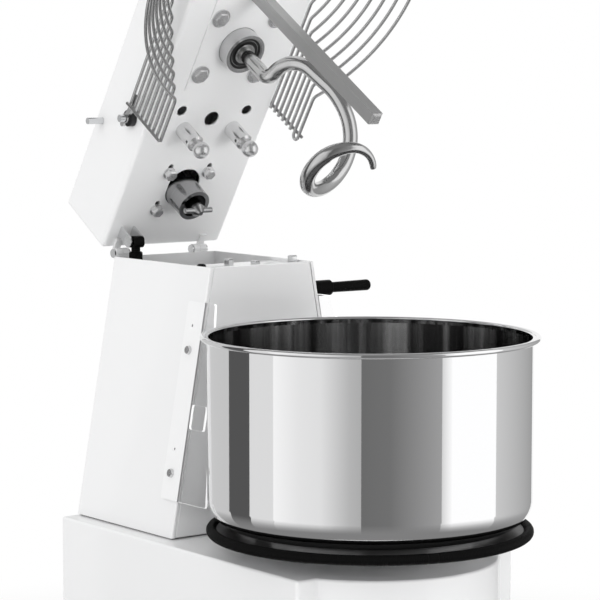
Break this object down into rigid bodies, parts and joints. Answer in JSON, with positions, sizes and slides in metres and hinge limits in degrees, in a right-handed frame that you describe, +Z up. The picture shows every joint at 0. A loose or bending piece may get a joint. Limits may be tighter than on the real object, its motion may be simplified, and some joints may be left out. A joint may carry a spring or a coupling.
{
  "type": "dough mixer",
  "caption": "Lifting-head spiral dough mixer: polished bowl on a turntable, tapering column, raised head with spiral, breaker bar and hinged wire guard.",
  "frame": {"origin": "middle of the footprint of the whole stored shape, on the floor under the feet", "axes": "+Z up, -Y to the front where the bowl is, +X to the side of the lock handle"},
  "size_m": [0.385, 0.6891, 1.1186],
  "materials": {
    "white_paint": "smooth glossy powder coat",
    "bowl_steel": "mirror polished stainless",
    "stainless": "satin stainless",
    "zinc": "bright zinc plate",
    "machined_steel": "turned steel",
    "dark_steel": "oiled steel",
    "bearing_steel": "ground steel with dark seals",
    "black_rubber": "matte",
    "black_plastic": "fine grain",
    "dark_gasket": "matte",
    "clear_plastic": "clear polished sheet",
    "galvanised": "plain plated sheet",
    "cast_body": "grey paint",
    "pulley_alloy": "turned",
    "panel_grey": "matte",
    "start_green": "gloss",
    "stop_red": "gloss"
  },
  "bodies": {
    "base": {"base_shell": "white_paint", "base_bottom_plate": "galvanised", "feet": "black_rubber", "cable_gland": "black_plastic", "column_gasket": "dark_gasket", "column_shell": "white_paint", "column_front_plate": "white_paint", "column_rear_cover": "white_paint", "clear_side_guards": "clear_plastic", "column_screws": "zinc", "bridge_plate": "white_paint", "bridge_bolts": "zinc", "head_bumper": "black_rubber", "lock_collar": "black_plastic", "column_hinge_leaves": "white_paint", "hinge_pins": "zinc", "strut_cylinder": "black_plastic", "bearing_plate": "galvanised", "shaft_bearings": "bearing_steel", "bearing_housings": "machined_steel", "motor_plate": "galvanised", "motor_body": "cast_body", "drive_belt": "black_rubber", "turntable_chain": "dark_steel", "control_panel": "panel_grey"},
    "turntable": {"turntable_spindle": "machined_steel", "turntable_sprocket": "dark_steel", "turntable_plate": "galvanised", "turntable_ring": "black_rubber", "mixing_bowl": "bowl_steel"},
    "main_shaft": {"main_shaft": "machined_steel", "drive_hub": "machined_steel", "main_pulley": "pulley_alloy"},
    "motor_rotor": {"motor_pulley": "pulley_alloy"},
    "head": {"head_shell": "white_paint", "head_top_cover": "white_paint", "underside_plate": "white_paint", "coupling_housing": "machined_steel", "spiral_housing": "machined_steel", "spiral_bearing": "bearing_steel", "head_bolts": "zinc", "breaker_bar": "stainless", "lock_studs": "zinc", "head_hinge_leaves": "white_paint", "strut_bracket": "zinc", "head_chain": "dark_steel", "guard_pivots": "zinc"},
    "input_shaft": {"coupling_shaft": "machined_steel"},
    "spiral": {"spiral_shaft": "machined_steel", "spiral_tool": "stainless"},
    "guard": {"guard_wires_left": "stainless", "guard_wires_right": "stainless", "guard_wires_bends": "stainless", "guard_frame": "stainless"},
    "lock": {"lock_bar": "galvanised", "lock_handle": "black_plastic"},
    "strut_rod": {"strut_rod": "black_plastic"},
    "start_button": {"start_button": "start_green"},
    "stop_button": {"stop_button": "stop_red"}
  },
  "joints": [
    {"name": "head_tilt", "type": "hinge", "parent": "base", "child": "head", "pos_m": [0, 0.26252, 0.6254], "axis": [1, 0, 0], "range_deg": [0, 57.1], "stiffness_Nm_per_rad": 12, "springref_deg": -143.24},
    {"name": "bowl_spin", "type": "hinge", "parent": "base", "child": "turntable", "pos_m": [0, -0.15208, 0.305], "axis": [0, 0, 1], "continuous": true},
    {"name": "main_shaft_spin", "type": "hinge", "parent": "base", "child": "main_shaft", "pos_m": [0, 0.17432, 0.305], "axis": [0, 0, 1], "continuous": true},
    {"name": "motor_spin", "type": "hinge", "parent": "base", "child": "motor_rotor", "pos_m": [0, 0.04272, 0.305], "axis": [0, 0, 1], "continuous": true},
    {"name": "spiral_spin", "type": "hinge", "parent": "head", "child": "spiral", "pos_m": [0.003, 0.09944, 0.87749], "axis": [0, -0.8396, -0.5432], "continuous": true},
    {"name": "input_shaft_spin", "type": "hinge", "parent": "head", "child": "input_shaft", "pos_m": [0, 0.21461, 0.69945], "axis": [0, -0.8396, -0.5432], "continuous": true},
    {"name": "guard_swing", "type": "hinge", "parent": "head", "child": "guard", "pos_m": [0, 0.19559, 0.79422], "axis": [-1, 0, 0], "range_deg": [0, 60]},
    {"name": "lock_slide", "type": "slide", "parent": "base", "child": "lock", "axis": [-1, 0, 0], "range_m": [0, 0.02]},
    {"name": "strut_slide", "type": "slide", "parent": "base", "child": "strut_rod", "axis": [0, 0, -1], "range_m": [0, 0.03177]},
    {"name": "start_press", "type": "slide", "parent": "base", "child": "start_button", "axis": [-0.984, 0, -0.1782], "range_m": [0, 0.004], "stiffness_N_per_m": 400, "springref_m": -0.002},
    {"name": "stop_press", "type": "slide", "parent": "base", "child": "stop_button", "axis": [-0.984, 0, -0.1782], "range_m": [0, 0.004], "stiffness_N_per_m": 400, "springref_m": -0.002}
  ],
  "couplings": [
    {"joint": "main_shaft_spin", "follows": "bowl_spin", "ratio": 7},
    {"joint": "motor_spin", "follows": "bowl_spin", "ratio": 28},
    {"joint": "input_shaft_spin", "follows": "spiral_spin", "ratio": 1},
    {"joint": "strut_slide", "follows": "head_tilt", "m_per_rad": 0.031675}
  ]
}
